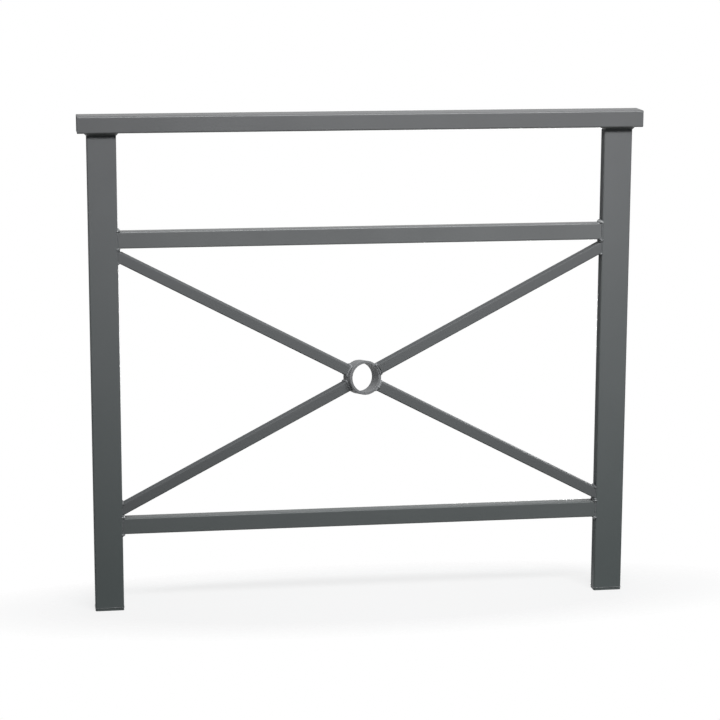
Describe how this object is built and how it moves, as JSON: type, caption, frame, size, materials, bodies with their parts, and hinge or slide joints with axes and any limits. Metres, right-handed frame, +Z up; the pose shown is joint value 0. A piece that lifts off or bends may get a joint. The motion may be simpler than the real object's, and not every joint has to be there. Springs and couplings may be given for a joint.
{
  "type": "street barrier",
  "caption": "Welded steel street barrier: two box-tube posts under a flat handrail, two rails, and crossed braces that meet at a ring; keeps people off the road.",
  "frame": {"origin": "middle of the left post's foot face, at ground level", "axes": "+X along the run to the right post, +Y to the back, +Z up"},
  "size_m": [1.176, 0.06, 1.044],
  "materials": {
    "grey_paint": "satin cool-grey paint over welded steel tube",
    "painted_weld": "weld beads under the same satin grey paint"
  },
  "bodies": {
    "root": {"centre_ring": "grey_paint", "handrail": "grey_paint", "handrail_left_cap": "grey_paint", "handrail_right_cap": "grey_paint", "left_post": "grey_paint", "left_post_foot": "grey_paint", "left_post_top_weld": "painted_weld", "lower_left_brace": "grey_paint", "lower_left_brace_post_weld": "painted_weld", "lower_left_brace_ring_weld": "painted_weld", "lower_rail": "grey_paint", "lower_rail_left_weld": "painted_weld", "lower_rail_right_weld": "painted_weld", "lower_right_brace": "grey_paint", "lower_right_brace_post_weld": "painted_weld", "lower_right_brace_ring_weld": "painted_weld", "right_post": "grey_paint", "right_post_foot": "grey_paint", "right_post_top_weld": "painted_weld", "upper_left_brace": "grey_paint", "upper_left_brace_post_weld": "painted_weld", "upper_left_brace_ring_weld": "painted_weld", "upper_rail": "grey_paint", "upper_rail_left_weld": "painted_weld", "upper_rail_right_weld": "painted_weld", "upper_right_brace": "grey_paint", "upper_right_brace_post_weld": "painted_weld", "upper_right_brace_ring_weld": "painted_weld"}
  },
  "joints": []
}
